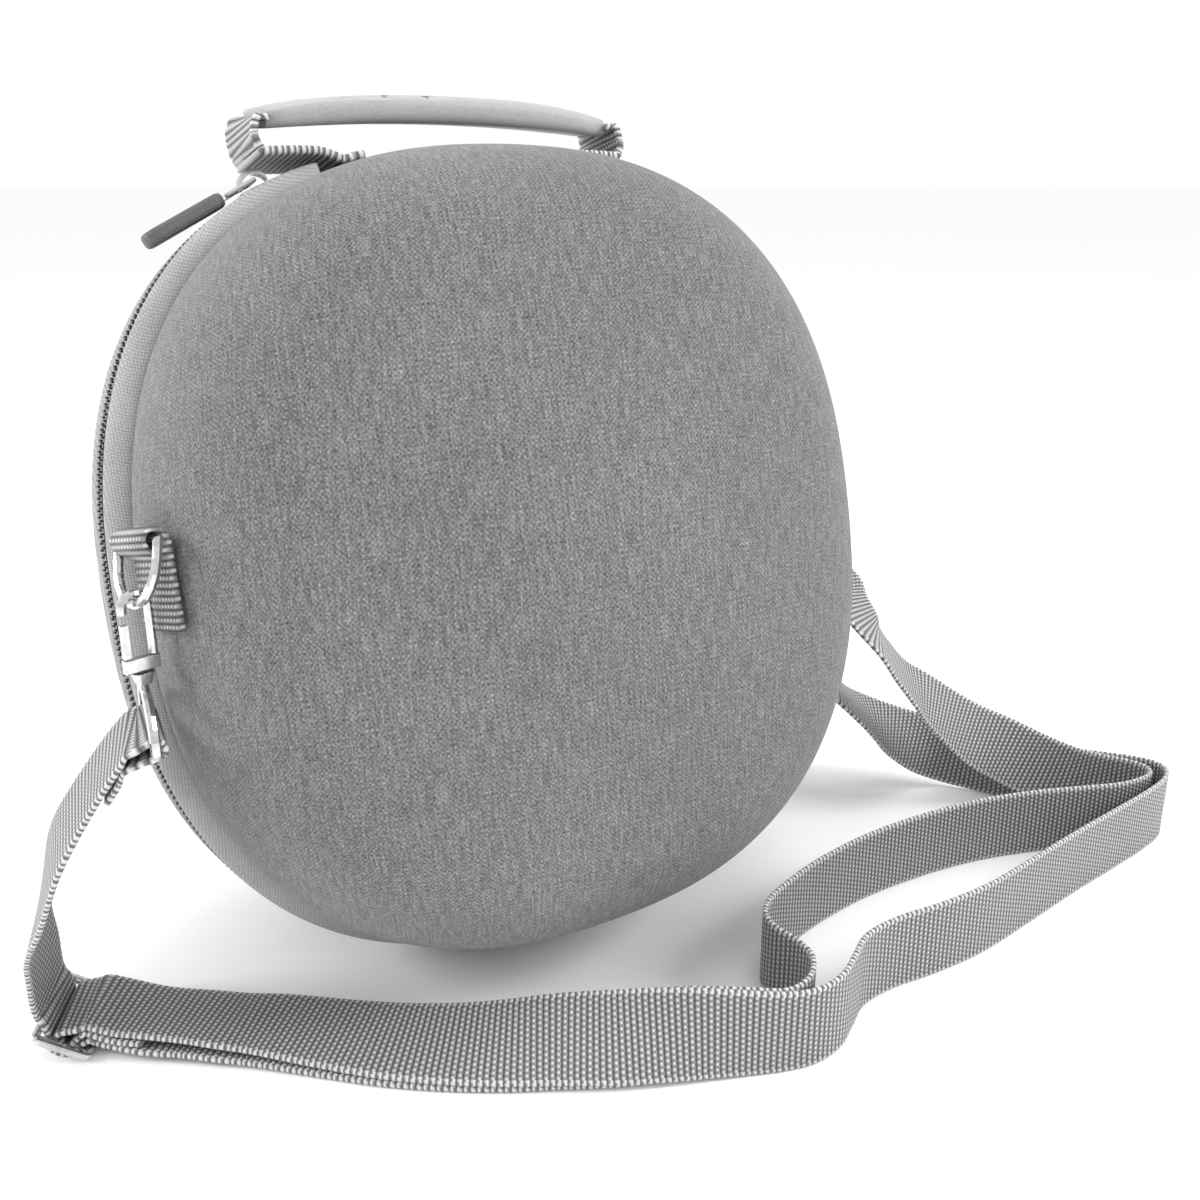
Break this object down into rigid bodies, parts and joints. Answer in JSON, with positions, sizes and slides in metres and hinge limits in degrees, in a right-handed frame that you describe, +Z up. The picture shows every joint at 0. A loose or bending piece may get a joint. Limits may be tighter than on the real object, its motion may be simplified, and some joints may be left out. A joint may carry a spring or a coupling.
{
  "type": "headset case",
  "caption": "Hard-shell rounded headset case with a coil zip, a moulded carry grip, side rings and a clip-on webbing shoulder strap lying beside it.",
  "frame": {"origin": "centre of the whole object's footprint, on the surface it rests on", "axes": "+Z up; +X along the case's width, to the right seen from its front; -Y towards the viewer of the case's front; the case leans back about 13 degrees, towards +Y"},
  "size_m": [0.3904, 0.222, 0.2599],
  "materials": {
    "heather": "heather plain weave over moulded foam",
    "welt": "fine knit over padding",
    "zip_black": "nylon coil",
    "dark_fabric": "plain weave",
    "chrome": "polished",
    "rubber": "moulded, matte",
    "grip": "soft moulded, satin",
    "webbing": "ribbed webbing"
  },
  "bodies": {
    "case": {"front_shell": "heather", "rear_shell": "heather", "front_welt": "welt", "rear_welt": "welt", "zip_chain": "zip_black", "hinge_panel": "dark_fabric", "zip_slider": "chrome", "slider_crown": "chrome", "d_ring_left": "chrome", "hook_bar_left": "chrome", "hook_body_left": "chrome", "swivel_left": "chrome", "strap_ring_left": "chrome", "d_ring_right": "chrome", "hook_bar_right": "chrome", "hook_body_right": "chrome", "swivel_right": "chrome", "strap_ring_right": "chrome", "strap_adjuster": "chrome", "handle_grip": "grip", "handle_webbing_left": "webbing", "handle_webbing_right": "webbing", "tab_left": "webbing", "tab_right": "webbing", "strap_drop": "webbing", "strap_in_adjuster": "webbing", "strap_rear_run": "webbing", "strap_fold": "webbing", "strap_back_run": "webbing", "strap_inner_turn": "webbing", "strap_upper_run": "webbing", "strap_ring_loop": "webbing", "strap_lower_run": "webbing", "strap_outer_turn": "webbing", "strap_long_run": "webbing", "strap_bend": "webbing", "strap_front_run": "webbing", "strap_end": "webbing"},
    "zip_pull": {"pull_link": "chrome", "pull_tab": "rubber"},
    "gate_left_body": {"gate_left": "chrome"},
    "gate_right_body": {"gate_right": "chrome"}
  },
  "joints": [
    {"name": "pull_swing", "type": "hinge", "parent": "case", "child": "zip_pull", "pos_m": [-0.09885, 0.0491, 0.23462], "axis": [0, 0.9738, -0.2274], "range_deg": [0, 70]},
    {"name": "gate_left_hinge", "type": "hinge", "parent": "case", "child": "gate_left_body", "pos_m": [-0.16058, -0.01946, 0.12419], "axis": [0.2545, -0.9671, 0], "range_deg": [-25, 0], "stiffness_Nm_per_rad": 0.003},
    {"name": "gate_right_hinge", "type": "hinge", "parent": "case", "child": "gate_right_body", "pos_m": [0.08415, 0.06765, 0.10479], "axis": [-0.2545, 0.9671, 0], "range_deg": [-25, 0], "stiffness_Nm_per_rad": 0.003}
  ]
}
